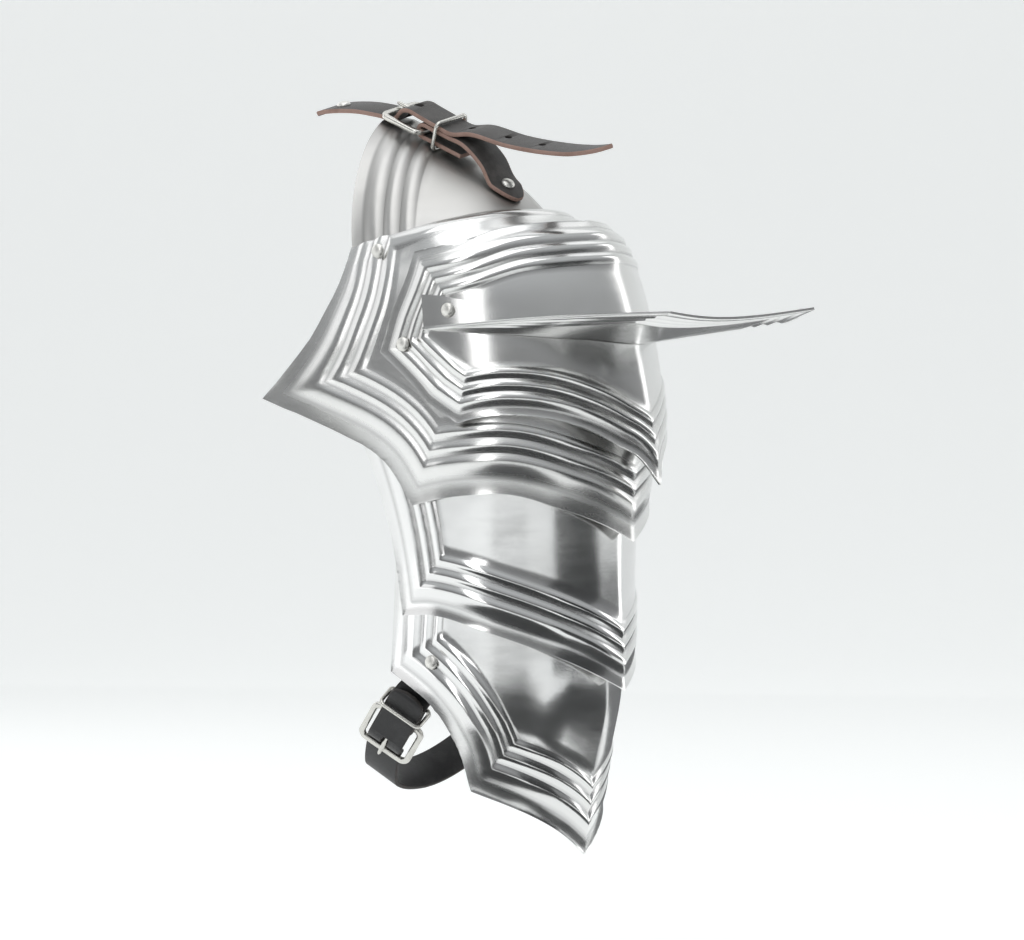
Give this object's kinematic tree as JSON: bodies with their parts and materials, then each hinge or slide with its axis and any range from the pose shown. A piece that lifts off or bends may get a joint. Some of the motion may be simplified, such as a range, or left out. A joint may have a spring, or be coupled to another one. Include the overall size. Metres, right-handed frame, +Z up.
{
  "type": "pauldron",
  "caption": "Polished steel shoulder armour for the left arm: domed cap, pointed wing plate, guard plate with a side flange, lames down the arm, buckled leather straps.",
  "frame": {"origin": "underside of the cap where it rests on top of the shoulder", "axes": "+X outwards from the neck, -Y to the wearer's front, +Z up"},
  "size_m": [0.2815, 0.1688, 0.375],
  "materials": {
    "steel": "polished steel plate",
    "nickel": "nickel plated rivets and buckles",
    "black_leather": "smooth black strap leather"
  },
  "bodies": {
    "cap": {"shoulder_cap": "steel", "buckle_leather": "black_leather", "buckle_leather_rivet": "nickel", "shoulder_strap": "black_leather", "shoulder_strap_rivet": "nickel", "shoulder_buckle_frame": "nickel", "shoulder_buckle_tongue": "nickel", "shoulder_keeper": "nickel", "wing_pivot_front": "nickel", "wing_pivot_back": "nickel"},
    "wing": {"wing_plate": "steel", "upper_arm_lame": "steel", "lower_arm_lame": "steel", "arm_strap_front": "black_leather", "arm_strap_back": "black_leather", "arm_buckle_frame": "nickel", "arm_buckle_tongue": "nickel", "arm_keeper": "nickel", "articulation_leather_front": "black_leather", "articulation_leather_back": "black_leather", "guard_pivot_front": "nickel", "guard_pivot_back": "nickel", "arm_strap_rivet_front": "nickel", "arm_strap_rivet_back": "nickel", "leather_rivet_wing_front": "nickel", "leather_rivet_wing_back": "nickel", "leather_rivet_upper_front": "nickel", "leather_rivet_upper_back": "nickel", "leather_rivet_lower_front": "nickel", "leather_rivet_lower_back": "nickel"},
    "guard": {"guard_plate": "steel", "side_flange": "steel", "flange_rivet_front": "nickel", "flange_rivet_back": "nickel"}
  },
  "joints": [
    {"name": "wing_hinge", "type": "hinge", "parent": "cap", "child": "wing", "pos_m": [-0.03108, 0, -0.03674], "axis": [0, 1, 0], "range_deg": [-18, 0]},
    {"name": "guard_hinge", "type": "hinge", "parent": "wing", "child": "guard", "pos_m": [-0.009, 0, -0.0826], "axis": [0, 1, 0], "range_deg": [-20, 0]}
  ]
}
